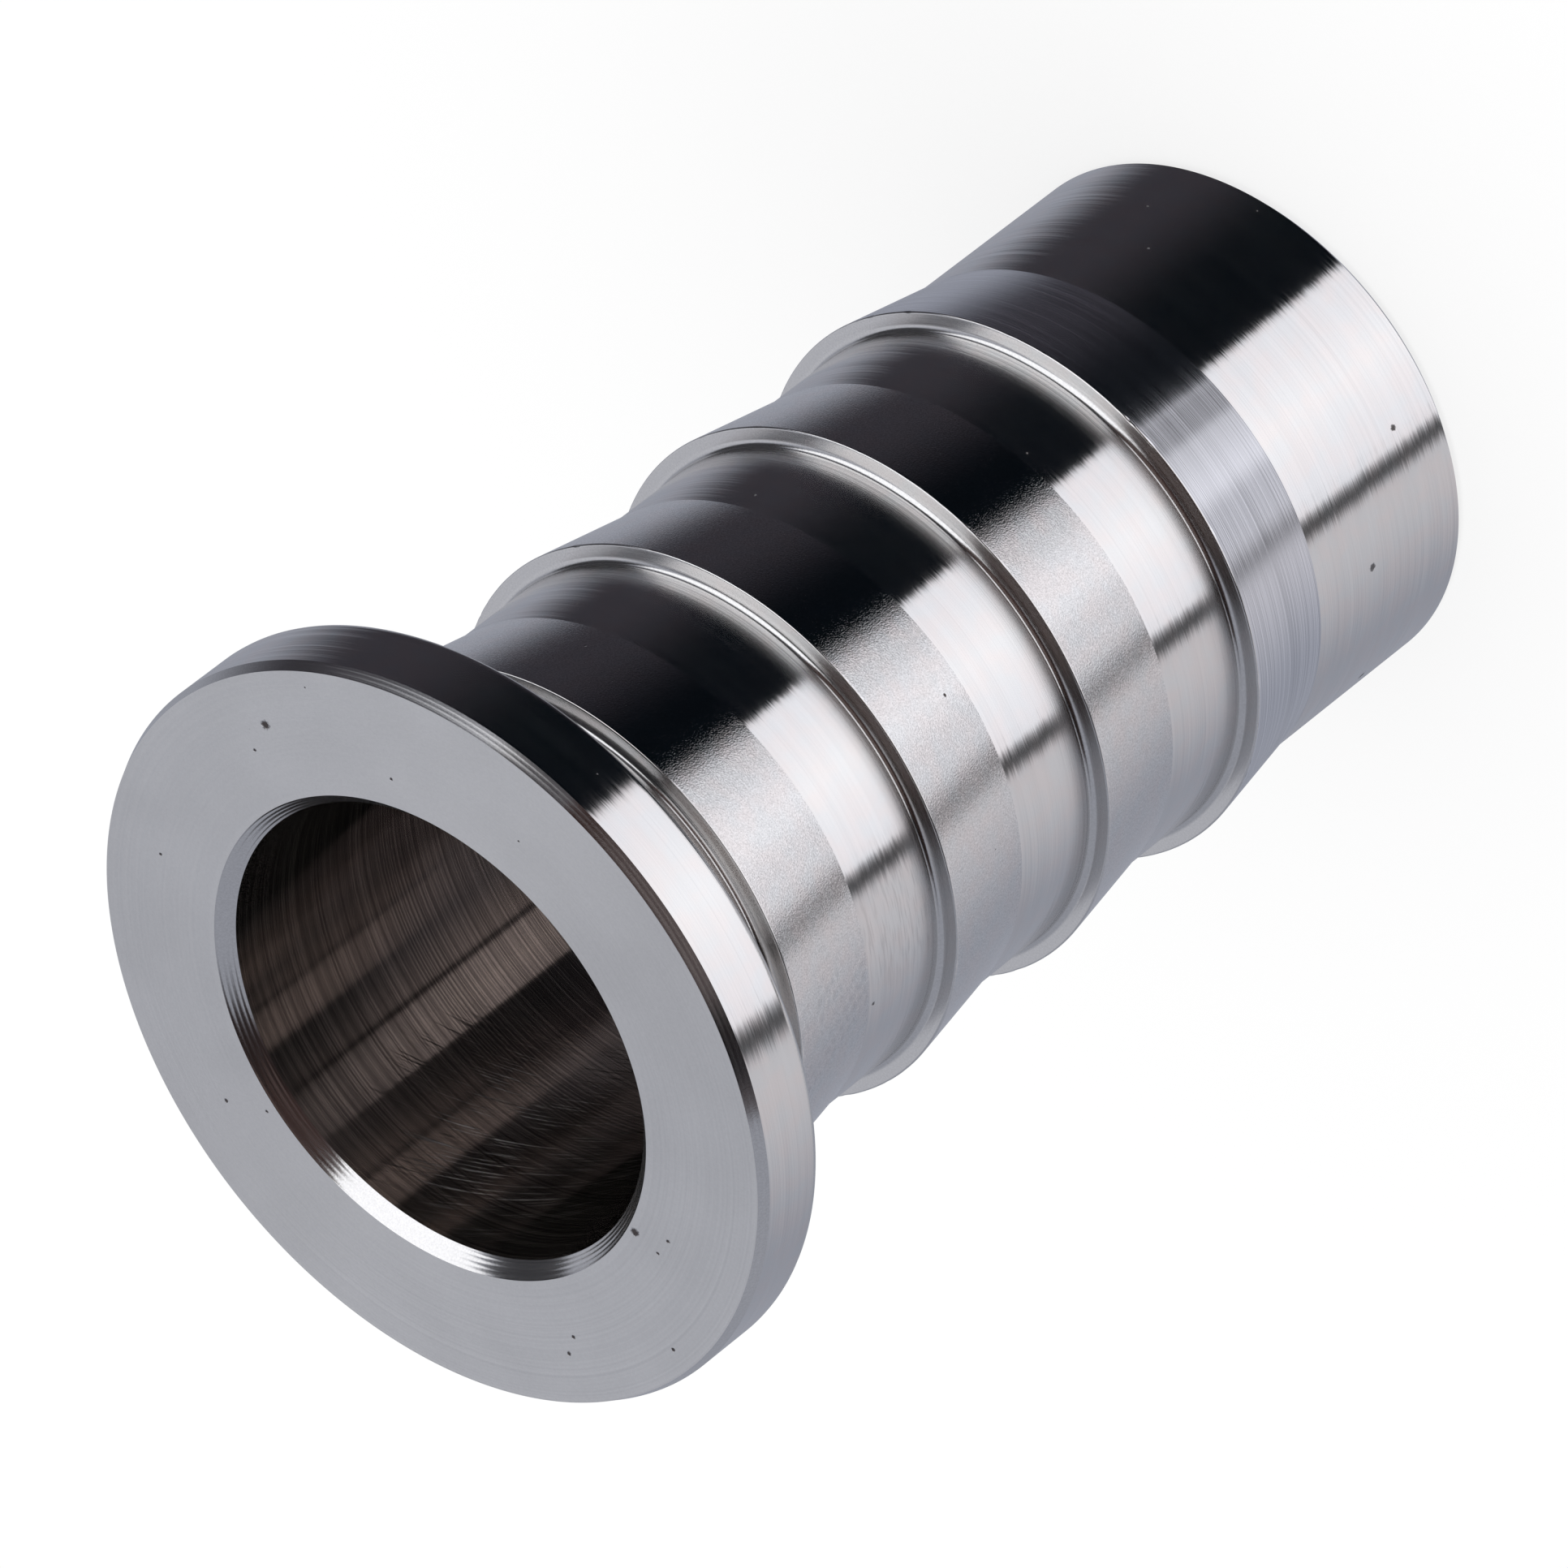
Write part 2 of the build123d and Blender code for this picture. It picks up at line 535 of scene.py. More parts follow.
def turn_and_height(tree):
    """Turn in radians, clockwise from +X seen from above, and height in mm."""
    x, y, height = split(tree, object_mm(tree))
    return value(tree, "ARCTAN2", value(tree, "MULTIPLY", y, -1.0), x), height


def root_nearness_group(s):
    """1 just above each shoulder, 0 from Reach above it on, in mm, and weaker on the neck.

    The shoulders repeat evenly, so the height above the nearest one below is a remainder.
    """
    lowest, pitch = lowest_shoulder(s) / MM, barb_pitch(s) / MM
    highest = lowest + (s.barb_count - 1) * pitch
    tree, given, out = new_group("root_nearness", (("Reach", FLOAT, 0.5),), (("Mask", FLOAT),))
    height = split(tree, object_mm(tree))[2]
    above = value(tree, "FLOORED_MODULO", value(tree, "SUBTRACT", height, lowest), pitch)
    near = spread(tree, above, 0.0, given["Reach"], 1.0, 0.0, smooth=True)
    near = value(tree, "MULTIPLY", near, value(tree, "GREATER_THAN", height, lowest))
    neck = spread(tree, height, highest - 0.5, highest, 1.0, 0.4)
    plug(tree, out["Mask"], value(tree, "MULTIPLY", near, neck))


CHATTER_TURN = 2.5           # turn, in radians, where the waves are clearest
CHATTER_ABOVE = 25.8         # foot of the first taper, in mm
# How fast each of the two waves runs with the turn, the height and the drift
CHATTER_WAVES = ((70.0, 6.5, 9.0), (44.0, -11.5, -7.0))


def chatter_group():
    """Faint waves that the tool's chatter left on one side of the first taper.

    Two slanted sine waves over the turn and the height are multiplied, which gives rows of shallow
    hollows. Tone is their painted shade, for the colour. They fade out away from that side.
    """
    tree, given, out = new_group(
        "chatter", (("Depth", FLOAT, 0.0006),), (("Height", FLOAT), ("Tone", FLOAT)))
    turn, height = turn_and_height(tree)
    drift = noise(tree, object_mm(tree), 0.9, 1.0)
    side = value(tree, "ABSOLUTE", value(tree, "SUBTRACT", turn, CHATTER_TURN))
    there = spread(tree, side, 0.12, 0.45, 1.0, 0.0, smooth=True)
    there = value(tree, "MULTIPLY", there, value(tree, "GREATER_THAN", height, CHATTER_ABOVE))
    there = value(tree, "MULTIPLY", there, spread(tree, drift, 0.35, 0.65, 0.4, 1.0))
    waves = there
    for by_turn, by_height, by_drift in CHATTER_WAVES:
        wave = value(tree, "MULTIPLY", height, by_height)
        wave = value(tree, "MULTIPLY_ADD", turn, by_turn, wave)
        wave = value(tree, "SINE", value(tree, "MULTIPLY_ADD", drift, by_drift, wave))
        waves = value(tree, "MULTIPLY", waves, wave)
    plug(tree, out["Height"], value(tree, "MULTIPLY", waves, given["Depth"]))
    # Tone is painted shade for the chatter, highest where the waves are
    plug(tree, out["Tone"], value(tree, "MULTIPLY", spread(tree, waves, 0.1, 0.7), there))


def tint_group():
    """A slow drift from 0 to 1 over the skin, for the faint warm and cool tints of cut steel."""
    tree, given, out = new_group("tint", (("Scale", FLOAT, 0.7),), (("Mask", FLOAT),))
    drift = noise(tree, object_mm(tree), value(tree, "DIVIDE", 1.0, given["Scale"]), 1.0)
    plug(tree, out["Mask"], spread(tree, drift, 0.35, 0.65))


# Materials


def tinted(tree, base):
    """A colour that drifts a little between warm and cool."""
    drift = use(tree, "tint", Scale=0.7)["Mask"]
    return vector(tree, "MULTIPLY", base,
                  blend(tree, drift, (0.985, 1.0, 1.015), (1.02, 0.99, 0.99)))


def new_material(name):
    """An empty material, its tree, its shader set to bare metal and a bump measured in mm."""
    material = bpy.data.materials.new(name)
    material.use_nodes = True
    tree = material.node_tree
    tree.nodes.clear()
    shader = add(tree, "ShaderNodeBsdfPrincipled")
    shader.inputs["Metallic"].default_value = 1.0
    out = add(tree, "ShaderNodeOutputMaterial")
    plug(tree, out.inputs["Surface"], shader.outputs[0])
    bump = add(tree, "ShaderNodeBump")
    bump.inputs["Strength"].default_value = 1.0
    bump.inputs["Distance"].default_value = MM
    plug(tree, shader.inputs["Normal"], bump.outputs[0])
    return material, tree, shader, bump.inputs


def shaded(tree, base, tone, amount):
    """A colour made up to amount lighter or darker by a tone from 0 to 1."""
    dark = tuple(part * (1.0 - amount) for part in base)
    light = tuple(min(1.0, part * (1.0 + amount)) for part in base)
    return blend(tree, tone, dark, light)


def around(tree, tone, middle, amount):
    """A value that goes from amount under the middle to amount over it with a tone."""
    return spread(tree, tone, 0.0, 1.0, middle - amount, middle + amount)


def turned_grain(tree, shader, amount):
    """Stretches the gloss across the lathe's rings by a constant amount."""
    shader.inputs["Anisotropic"].default_value = amount
    shader.inputs["Anisotropic Rotation"].default_value = 0.25
    tangent = add(tree, "ShaderNodeTangent", direction_type="RADIAL", axis="Z")
    plug(tree, shader.inputs["Tangent"], tangent.outputs[0])


def on_part(turn, radius, height):
    """A place on the part in mm, from a turn in radians clockwise from +X seen from above."""
    return (radius * math.cos(turn), -radius * math.sin(turn), height)


# Pits that stand out, each as turn in radians, radius, height and size in mm
STEM_MARKS = (
    (2.359, 7.75, 4.05, 0.14), (1.956, 7.75, 1.95, 0.11), (2.977, 7.75, 3.15, 0.15),
    (0.729, 7.75, 2.25, 0.05), (1.318, 7.75, 15.85, 0.04), (2.53, 7.75, 25.60, 0.08))
TAPER_MARKS = ((1.72, 7.87, 20.10, 0.06),)
FACE_MARKS = (
    (0.30, 9.37, 34.35, 0.17), (2.88, 7.43, 34.35, 0.15), (3.13, 10.2, 34.35, 0.07),
    (2.80, 8.36, 34.35, 0.07), (2.88, 8.25, 34.35, 0.06), (3.53, 9.38, 34.35, 0.08),
    (3.48, 8.91, 34.35, 0.07), (4.94, 8.86, 34.35, 0.08), (5.80, 9.13, 34.35, 0.06),
    (4.86, 7.59, 34.35, 0.06), (0.20, 8.80, 34.35, 0.06))
WORN_PATCH = (2.25, 7.75, 24.3)      # turn, radius and height of the worn patch on the first land
CUT_PATCH = (4.05, 6.8, 29.5)        # the same for the patch of slanted scratches in the bore
CUT_RISE = 3.96                      # height in mm that those scratches gain in a radian


def marks(tree, places):
    """The pits at the given (turn, radius, height, size), all in one mask."""
    mask = 0.0
    for turn, radius, height, size in places:
        one = use(tree, "mark", Place=on_part(turn, radius, height), Size=size)["Mask"]
        mask = value(tree, "MAXIMUM", mask, one)
    return mask


def fine_turned(finish):
    """Rim, neck, lands and plain end: bright fine turning with faint rings and a few pits."""
    material, tree, shader, bump = new_material("fine_turned_steel")
    near = use(tree, "root_nearness", Reach=1.3)["Mask"]
    fine = use(tree, "lathe_rings", Pitch=0.040, Arc=20.0, Sway=0.0035,
               Tilt=spread(tree, near, 0.0, 1.0, 0.028, 0.012))
    wide = use(tree, "lathe_rings", Pitch=0.30, Arc=40.0, Tilt=0.0, Sway=0.0)
    tiny = use(tree, "pits", Spacing=1.2, Size=0.036, Share=0.45)["Mask"]
    chosen = marks(tree, STEM_MARKS)
    # Short matt lines in one worn patch, and streaks of painted shade along the foot of each
    # shoulder
    worn = vector(tree, "DISTANCE", object_mm(tree), on_part(*WORN_PATCH))
    worn = spread(tree, worn, 1.2, 2.6, 1.0, 0.0, smooth=True)
    short = use(tree, "lathe_rings", Pitch=0.07, Arc=0.8, Tilt=0.0, Sway=0.0)["Tone"]
    worn = value(tree, "MULTIPLY", worn, spread(tree, short, 0.45, 0.9, 0.0, 0.30))
    # Painted shade: ring lines near each shoulder's foot darkened towards the colour of the pits
    streaks = value(tree, "MULTIPLY", near, spread(tree, fine["Tone"], 0.35, 0.8, 0.0, 0.45))
    wear_and_painted_shade = value(tree, "MAXIMUM", value(tree, "MAXIMUM", tiny, worn), streaks)
    tone = value(tree, "MULTIPLY", value(tree, "ADD", fine["Tone"], wide["Tone"]), 0.5)
    base = tinted(tree, shaded(tree, finish.steel, tone, 0.035))
    # Pits and the worn patch take the colour of the pits, and so does that painted shade
    base = blend(tree, wear_and_painted_shade, base, finish.pit_and_shade)
    plug(tree, shader.inputs["Base Color"],
         blend(tree, value(tree, "MULTIPLY", chosen, 0.7), base, finish.speck))
    pits = value(tree, "MAXIMUM", tiny, chosen)
    rough = around(tree, fine["Tone"], finish.fine_roughness, 0.03)
    rough = value(tree, "MULTIPLY_ADD", near, 0.14, rough)
    plug(tree, shader.inputs["Roughness"], value(tree, "MULTIPLY_ADD", pits, 0.4, rough))
    plug(tree, bump["Normal"], fine["Normal"])
    plug(tree, bump["Height"], value(tree, "MULTIPLY", pits, -0.01))
    turned_grain(tree, shader, 0.90)
    return material


def matt_taper(finish):
    """Tapers but the last: satin grain the same in all directions, faint chatter hollows with
    painted shade, a few pits.
    """
    material, tree, shader, bump = new_material("matt_taper_steel")
    grain = use(tree, "speckle", Grain=0.045, Depth=0.0045)
    coarse = use(tree, "speckle", Grain=0.35, Depth=0.0010)
    chatter = use(tree, "chatter", Depth=0.0024)
    tiny = use(tree, "pits", Spacing=1.3, Size=0.04, Share=0.3)["Mask"]
    chosen = marks(tree, TAPER_MARKS)
    pits = value(tree, "MAXIMUM", tiny, chosen)
    base = tinted(tree, shaded(tree, finish.steel, grain["Tone"], 0.19))
    # Painted shade in the chatter, put on with the colour of the pits
    painted_dimple_shade = value(tree, "MULTIPLY", chatter["Tone"], 0.22)
    base = blend(tree, value(tree, "MAXIMUM", tiny, painted_dimple_shade), base, finish.pit_and_shade)
    plug(tree, shader.inputs["Base Color"], blend(tree, chosen, base, finish.speck))
    rough = around(tree, coarse["Tone"], finish.matt_roughness, 0.025)
    plug(tree, shader.inputs["Roughness"], value(tree, "MULTIPLY_ADD", pits, 0.4, rough))
    total = value(tree, "ADD", grain["Height"], coarse["Height"])
    total = value(tree, "ADD", total, chatter["Height"])
    plug(tree, bump["Height"], value(tree, "MULTIPLY_ADD", pits, -0.008, total))
    return material


def brushed_taper(finish):
    """Last taper: brushed round with clear lines, all a little tilted, that spread the gloss."""
    material, tree, shader, bump = new_material("brushed_taper_steel")
    lines = use(tree, "lathe_rings", Pitch=0.032, Arc=9.0, Tilt=0.009, Sway=0.003, Lean=-0.05)
    base = shaded(tree, finish.steel, lines["Tone"], 0.19)
    plug(tree, shader.inputs["Base Color"], vector(tree, "MULTIPLY", base, (0.99, 1.01, 1.075)))
    plug(tree, shader.inputs["Roughness"],
         around(tree, lines["Tone"], finish.brushed_roughness, 0.03))
    plug(tree, bump["Normal"], lines["Normal"])
    turned_grain(tree, shader, 0.83)
    return material


def faced(finish):
    """Flange face: satin facing with faint rings, scattered specks and a few clear ones."""
    material, tree, shader, bump = new_material("faced_steel")
    lines = use(tree, "lathe_rings", Pitch=0.07, Arc=40.0, Tilt=0.03, Sway=0.004)
    grain = use(tree, "speckle", Grain=0.08, Depth=0.0012)
    tiny = use(tree, "pits", Spacing=1.1, Size=0.042, Share=0.35)["Mask"]
    patches = use(tree, "tint", Scale=2.6)["Mask"]
    pits = value(tree, "MAXIMUM", tiny, marks(tree, FACE_MARKS))
    tone = value(tree, "MULTIPLY", value(tree, "ADD", grain["Tone"], lines["Tone"]), 0.5)
    base = vector(tree, "MULTIPLY", shaded(tree, finish.steel, tone, 0.05),
                  blend(tree, patches, (0.975, 0.98, 0.98), (1.02, 1.025, 1.025)))
    plug(tree, shader.inputs["Base Color"], blend(tree, pits, base, finish.speck))
    plug(tree, shader.inputs["Roughness"],
         around(tree, lines["Tone"], finish.faced_roughness, 0.03))
    plug(tree, bump["Normal"], lines["Normal"])
    plug(tree, bump["Height"], value(tree, "MULTIPLY_ADD", pits, -0.02, grain["Height"]))
    turned_grain(tree, shader, 0.6)
    return material


def plain_turned(name, finish, roughness, pitch, tilt, stretch):
    """Shoulders, bevels, mouth and end: rings of their own pitch and tilt."""
    material, tree, shader, bump = new_material(name)
    lines = use(tree, "lathe_rings", Pitch=pitch, Arc=30.0, Tilt=tilt, Sway=0.0015)
    grain = use(tree, "speckle", Grain=0.06, Depth=0.0010)
    plug(tree, shader.inputs["Base Color"], shaded(tree, finish.steel, grain["Tone"], 0.06))
    plug(tree, shader.inputs["Roughness"], around(tree, lines["Tone"], roughness, 0.04))
    plug(tree, bump["Normal"], lines["Normal"])
    plug(tree, bump["Height"], grain["Height"])
    turned_grain(tree, shader, stretch)
    return material


def bored(finish):
    """Bore: dim brown steel with fine rings painted as lighter and darker lines, and wider dark
    rings of painted shade that come and go.

    On one side a patch has short, bright, slanted scratches: noise that is long along a helix.
    """
    material, tree, shader, bump = new_material("bored_steel")
    # Slanted scratches
    turn, height = turn_and_height(tree)
    helix = value(tree, "MULTIPLY_ADD", turn, -CUT_RISE, height)
    streaks = noise(tree, joined(tree, value(tree, "MULTIPLY", turn, 4.0),
                                 value(tree, "DIVIDE", helix, 0.06), 0.0), 1.0, 1.0, 0.5)
    patch = vector(tree, "DISTANCE", object_mm(tree), on_part(*CUT_PATCH))
    cut = value(tree, "MULTIPLY", spread(tree, streaks, 0.57, 0.70, smooth=True),
                spread(tree, patch, 2.0, 5.8, 1.0, 0.0, smooth=True))
    # Painted reflections of the fine rings as lighter and darker lines, and painted shade in wider
    # rings whose strength changes from place to place
    lines = use(tree, "lathe_rings", Pitch=0.07, Arc=60.0, Tilt=0.001, Sway=0.0,
                Lean=value(tree, "MULTIPLY", cut, -0.32))
    painted_track_shade = use(tree, "lathe_rings", Pitch=0.12, Arc=90.0, Tilt=0.0, Sway=0.0)["Tone"]
    painted_track_shade = spread(tree, painted_track_shade, 0.28, 0.48, 1.0, 0.0, smooth=True)
    strength = spread(tree, noise(tree, object_mm(tree), 0.45, 1.0), 0.40, 0.60, 0.2, 0.78)
    grooves = value(tree, "MULTIPLY", spread(tree, lines["Tone"], 0.25, 0.75),
                    value(tree, "SUBTRACT", 1.0, value(tree, "MULTIPLY", painted_track_shade, strength)))
    worn = value(tree, "MULTIPLY", cut, 0.40)
    # The colour carries the painted ring reflections and the painted shade of the wider rings
    plug(tree, shader.inputs["Base Color"],
         blend(tree, worn, shaded(tree, finish.bored_steel, grooves, 0.44), finish.steel))
    shader.inputs["Metallic"].default_value = 0.985
    rough = around(tree, lines["Tone"], finish.bore_roughness, 0.015)
    plug(tree, shader.inputs["Roughness"], value(tree, "MULTIPLY_ADD", cut, 0.15, rough))
    plug(tree, bump["Normal"], lines["Normal"])
    turned_grain(tree, shader, 0.95)
    return material


def finishes(sizes, finish):
    """All materials of the skin, in the order of FINISHES."""
    lathe_rings_group()
    speckle_group()
    pits_group()
    mark_group()
    root_nearness_group(sizes)
    chatter_group()
    tint_group()
    made = {
        "fine_turned_steel": fine_turned(finish),
        "matt_taper_steel": matt_taper(finish),
        "brushed_taper_steel": brushed_taper(finish),
        "faced_steel": faced(finish),
        "bored_steel": bored(finish),
    }
    for name, roughness, pitch, tilt, stretch in (
            ("shoulder_steel", finish.edge_roughness, 0.05, 0.003, 0.7),
            ("edge_steel", finish.edge_roughness, 0.05, 0.015, 0.7),
            ("mouth_steel", finish.edge_roughness, 0.05, 0.03, 0.7),
            ("plain_end_steel", finish.faced_roughness, 0.07, 0.03, 0.9)):
        made[name] = plain_turned(name, finish, roughness, pitch, tilt, stretch)
    return [made[name] for name in FINISHES]


# Studio


def panel_group():
    """How far a direction lies on a panel of the surround, from 0 off it to 1 on it.

    A panel is a patch of azimuth and elevation, in degrees, with soft sides and soft ends. Its
    middle and half width are those at Level, and change by Lean and Flare for each degree above.
    """
    tree, given, out = new_group(
        "studio_panel",
        (("Azimuth", FLOAT, 0.0), ("Elevation", FLOAT, 0.0), ("Middle", FLOAT, 0.0),
         ("Half", FLOAT, 30.0), ("Side", FLOAT, 2.0), ("Low", FLOAT, -90.0), ("High", FLOAT, 90.0),
         ("Soft", FLOAT, 8.0), ("Level", FLOAT, 0.0), ("Lean", FLOAT, 0.0), ("Flare", FLOAT, 0.0)),
        (("Mask", FLOAT),))
    above = value(tree, "SUBTRACT", given["Elevation"], given["Level"])
    middle = value(tree, "MULTIPLY_ADD", above, given["Lean"], given["Middle"])
    half = value(tree, "MULTIPLY_ADD", above, given["Flare"], given["Half"])
    away = value(tree, "SUBTRACT", given["Azimuth"], middle)
    away = value(tree, "ABSOLUTE", value(tree, "WRAP", away, 180.0, -180.0))
    side = spread(tree, away, value(tree, "SUBTRACT", half, given["Side"]),
                  value(tree, "ADD", half, given["Side"]), 1.0, 0.0, smooth=True)
    low = spread(tree, given["Elevation"], value(tree, "SUBTRACT", given["Low"], given["Soft"]),
                 value(tree, "ADD", given["Low"], given["Soft"]), smooth=True)
    high = spread(tree, given["Elevation"], value(tree, "SUBTRACT", given["High"], given["Soft"]),
                  value(tree, "ADD", given["High"], given["Soft"]), 1.0, 0.0, smooth=True)
    plug(tree, out["Mask"], value(tree, "MULTIPLY", value(tree, "MULTIPLY", side, low), high))


# What the steel mirrors where no panel is
SURROUND = (0.35, 0.365, 0.42)
# Panels that the steel mirrors: middle, half width and softness in azimuth, then low end, high
# end and softness in elevation, then level, lean and flare, and the light that comes off it
PANELS = (
    ("dark overhead", -90, 180, 1, 74, 90, 6, 0, 0, 0, (0.10, 0.08, 0.08)),
    ("side wall", -158, 30, 34, -90, -14, 14, 0, 0, 0, (0.71, 0.695, 0.73)),
    ("wall behind, above", 70, 30, 18, 12, 90, 14, 0, 0, 0, (0.585, 0.595, 0.65)),
    ("dark gap", -54, 12, 4, -4, 24, 4, 0, 0, 0, (0.09, 0.085, 0.093)),
    ("dark wall below", -28, 67.5, 18, -90, 6, 4, -38, 0, -0.12, (0.042, 0.039, 0.048)),
    ("darkest corner", -60, 45, 22, -90, 2, 6, 0, 0, 0, (0.003, 0.0045, 0.0065)),
    ("dark strip", 25, 15, 2.5, -4, 38, 3, 0, 0, 0, (0.045, 0.045, 0.05)),
    ("foot of the soft box", -104.6, 36.2, 1, -66.5, -1, 4, -55, 0.065, -0.25, (1, 0.995, 1.05)),
    ("middle of its foot", -110, 15, 15, -66.5, -40, 4, 0, 0, 0, (1.13, 1.125, 1.18)),
    ("soft box below", -105.1, 35.8, 1.6, -46, -1, 5, -38, 0.065, -0.25, (1.14, 1.135, 1.20)),
    ("middle of the soft box", -104, 13, 22, -46, -1, 5, 0, 0, 0, (1.32, 1.31, 1.35)),
    ("lower corner, right", -77, 9, 3, -90, -60, 4, 0, 0, 0, (0.12, 0.12, 0.13)),
    ("lower corner, left", -133, 14, 6, -90, -58, 4, 0, 0, 0, (0.50, 0.50, 0.54)),
    ("frame of the soft box", -146.0, 4.0, 3.2, -90, -2, 3, -38, 0.35, 0, (0.085, 0.085, 0.09)),
    ("soft box above", -30.5, 39, 2.0, 11.8, 90, 8, 38, -0.385, 0.485, (1.38, 1.39, 1.45)),
    ("camera side", -111, 46, 2.0, 2, 90, 4, 0, 0, 0, (0.048, 0.029, 0.027)),
    ("dark low corner", -138, 12, 6, -2, 22, 4, 0, 0, 0, (0.006, 0.004, 0.004)),
    ("camera side, lower", -102, 24, 12, 16, 42, 6, 0, 0, 0, (0.135, 0.103, 0.097)),
    ("dark by the camera", -145, 15, 8, 20, 90, 6, 38, 0.7, 0, (0.020, 0.013, 0.012)),
)


def surround(world, studio):
    """World: white to the eye, panels to the steel, and plain even light on everything matt."""
    world.use_nodes = True
    tree = world.node_tree
    tree.nodes.clear()
    direction = add(tree, "ShaderNodeTexCoord").outputs["Generated"]
    x, y, z = split(tree, vector(tree, "NORMALIZE", direction))
    azimuth = value(tree, "DEGREES", value(tree, "ARCTAN2", y, x))
    elevation = value(tree, "DEGREES", value(tree, "ARCSINE", z))
    seen = SURROUND
    for _, middle, half, side, low, high, soft, level, lean, flare, light in PANELS:
        mask = use(tree, "studio_panel", Azimuth=azimuth, Elevation=elevation, Middle=middle,
                   Half=half, Side=side, Low=low, High=high, Soft=soft, Level=level, Lean=lean,
                   Flare=flare)["Mask"]
        seen = blend(tree, mask, seen, light)
    ray = add(tree, "ShaderNodeLightPath").outputs
    fill = (studio.fill_level,) * 3
    plain = value(tree, "MAXIMUM", ray["Is Camera Ray"], ray["Is Transmission Ray"])
    light = blend(tree, plain, fill, (1.0, 1.0, 1.0))
    light = blend(tree, ray["Is Glossy Ray"], light, seen)
    background = add(tree, "ShaderNodeBackground")
    plug(tree, background.inputs["Color"], light)
    plug(tree, add(tree, "ShaderNodeOutputWorld").inputs["Surface"], background.outputs[0])
    world.cycles.sampling_method = "NONE"


def floor_material(studio):
    """Pale floor: part matt, so that it keeps a soft shadow, and part plain white to the eye."""
    material = bpy.data.materials.new("pale_floor")
    material.use_nodes = True
    tree = material.node_tree
    tree.nodes.clear()
    matt = add(tree, "ShaderNodeBsdfDiffuse")
    matt.inputs["Color"].default_value = (*studio.floor_colour, 1.0)
    white = add(tree, "ShaderNodeEmission")
    ray = add(tree, "ShaderNodeLightPath").outputs
    seen = value(tree, "MAXIMUM", ray["Is Camera Ray"], ray["Is Glossy Ray"])
    seen = value(tree, "MAXIMUM", seen, ray["Is Transmission Ray"])
    mixed = add(tree, "ShaderNodeMixShader")
    plug(tree, mixed.inputs[0], value(tree, "MULTIPLY", seen, studio.floor_white))
    plug(tree, mixed.inputs[1], matt.outputs[0])
    plug(tree, mixed.inputs[2], white.outputs[0])
    plug(tree, add(tree, "ShaderNodeOutputMaterial").inputs["Surface"], mixed.outputs[0])
    return material


def disc(radius, rim):
    """A flat disc, one face with (radius cos angle, radius sin angle, 0) along its rim."""
    angle = np.linspace(0.0, 2.0 * np.pi, rim, endpoint=False)
    outer = np.stack([radius * np.cos(angle), radius * np.sin(angle), np.zeros(rim)], -1)
    mesh = bpy.data.meshes.new("floor")
    mesh.from_pydata(outer.tolist(), [], [list(range(rim))])
    return mesh


# Operators


class TubeInsertSkin(bpy.types.Operator):
    """Turn the insert's skin and give each part of it its finish"""
    bl_idname = "tube_insert.skin"
    bl_label = "Turned skin"
    bl_options = {"REGISTER", "UNDO"}

    def execute(self, context):
        sizes, finish = context.scene.insert_sizes, context.scene.insert_finish
        place, faces, kinds, texture, sharp, total = turned_skin(sizes)
        context.scene["section_length_mm"] = float(total / MM)
        mesh = mesh_of("turned_insert", sizes.segments, place, faces, kinds, texture, sharp)
        for material in finishes(sizes, finish):
            mesh.materials.append(material)
        skin = bpy.data.objects.new("turned_insert", mesh)
        context.scene.collection.objects.link(skin)
        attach(skin, "root")
        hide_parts("tube_insert")
        return {"FINISHED"}


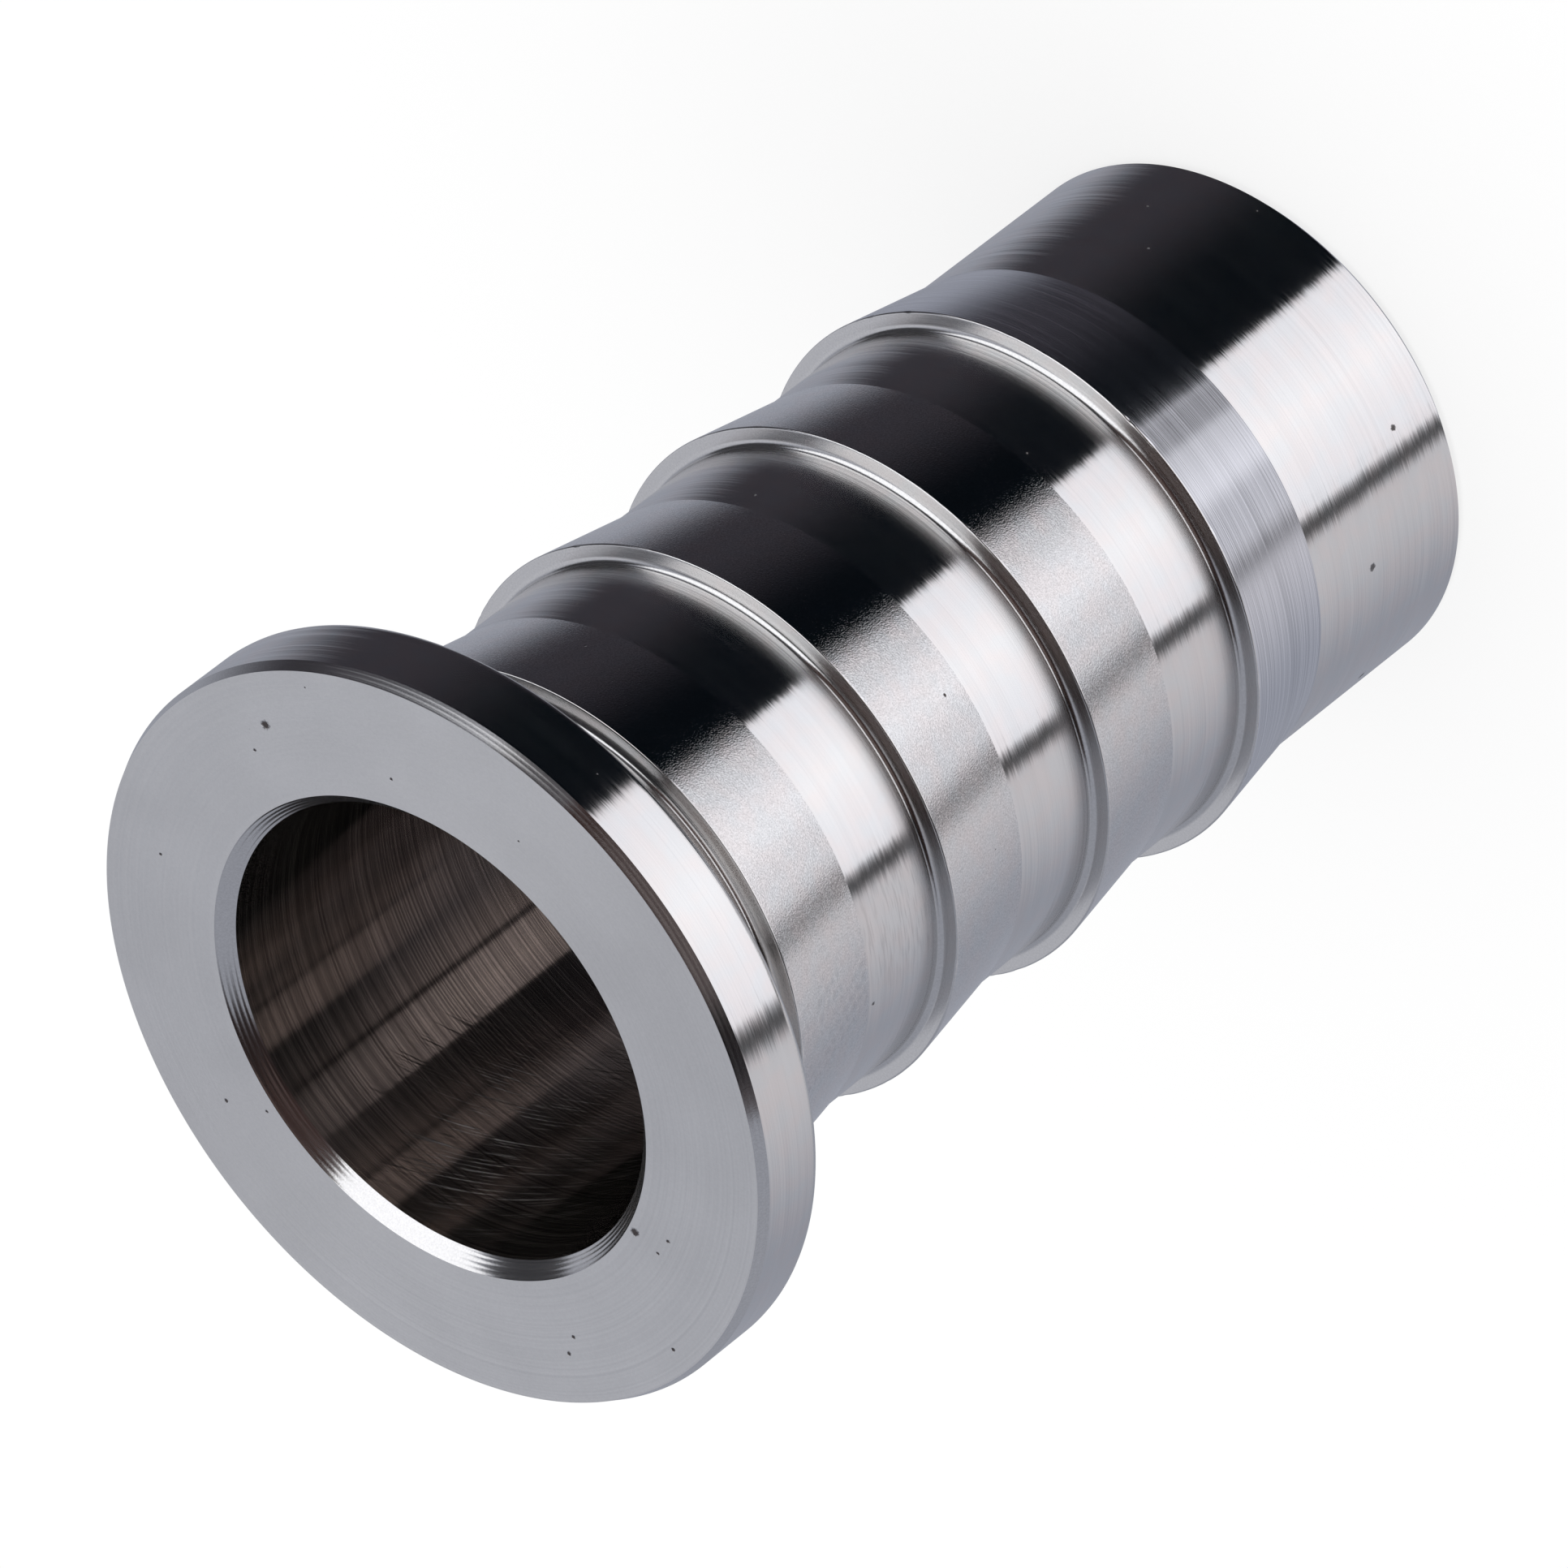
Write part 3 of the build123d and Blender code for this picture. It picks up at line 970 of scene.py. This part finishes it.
class TubeInsertStudio(bpy.types.Operator):
    """Set up the floor, the lamp, the surround and the camera"""
    bl_idname = "tube_insert.studio"
    bl_label = "Studio"
    bl_options = {"REGISTER", "UNDO"}

    def execute(self, context):
        scene, studio = context.scene, context.scene.insert_studio
        panel_group()
        world = bpy.data.worlds.new("studio_surround")
        scene.world = world
        surround(world, studio)

        floor = bpy.data.objects.new("floor", disc(radius=0.9, rim=96))
        floor.data.materials.append(floor_material(studio))
        floor.visible_glossy = False
        scene.collection.objects.link(floor)

        lamp = bpy.data.lights.new("top_lamp", "AREA")
        lamp.shape, lamp.size, lamp.energy = "DISK", 0.5, studio.lamp_power
        holder = bpy.data.objects.new("top_lamp", lamp)
        holder.location = (-0.15, -0.1, 0.6)
        holder.rotation_euler = (math.radians(-9.0), math.radians(-14.0), 0.0)
        holder.visible_camera = False
        holder.visible_glossy = False
        scene.collection.objects.link(holder)

        camera = bpy.data.cameras.new("camera")
        camera.lens, camera.sensor_width = studio.lens, 36.0
        camera.clip_start, camera.clip_end = 0.01, 5.0
        stand = bpy.data.objects.new("camera", camera)
        stand.matrix_world = (Matrix.Translation(studio.camera_place)
                              @ Matrix.Rotation(math.pi / 2.0 - studio.camera_drop, 4, "X")
                              @ Matrix.Rotation(studio.camera_roll, 4, "Z"))
        scene.collection.objects.link(stand)
        scene.camera = stand
        scene.view_settings.view_transform = "Standard"
        return {"FINISHED"}


class TubeInsertPanel(bpy.types.Panel):
    """Sizes, finish and studio of the tube insert"""
    bl_idname = "VIEW3D_PT_tube_insert"
    bl_label = "Tube insert"
    bl_space_type = "VIEW_3D"
    bl_region_type = "UI"
    bl_category = "Tube insert"

    def draw(self, context):
        for group, operator in (("insert_sizes", None), ("insert_finish", "tube_insert.skin"),
                                ("insert_studio", "tube_insert.studio")):
            settings = getattr(context.scene, group)
            box = self.layout.box()
            for name in settings.__annotations__:
                box.prop(settings, name)
            if operator:
                box.operator(operator)


CLASSES = (InsertSizes, InsertFinish, InsertStudio, TubeInsertSkin, TubeInsertStudio,
           TubeInsertPanel)


def register():
    """Makes the classes and their settings known to Blender."""
    for each in CLASSES:
        bpy.utils.register_class(each)
    bpy.types.Scene.insert_sizes = bpy.props.PointerProperty(type=InsertSizes)
    bpy.types.Scene.insert_finish = bpy.props.PointerProperty(type=InsertFinish)
    bpy.types.Scene.insert_studio = bpy.props.PointerProperty(type=InsertStudio)


def unregister():
    """Takes them out again."""
    del bpy.types.Scene.insert_studio
    del bpy.types.Scene.insert_finish
    del bpy.types.Scene.insert_sizes
    for each in reversed(CLASSES):
        bpy.utils.unregister_class(each)


def main():
    """Builds everything."""
    register()
    bpy.ops.tube_insert.skin()
    bpy.ops.tube_insert.studio()
    bpy.context.view_layer.update()


if __name__ == "__main__":
    main()
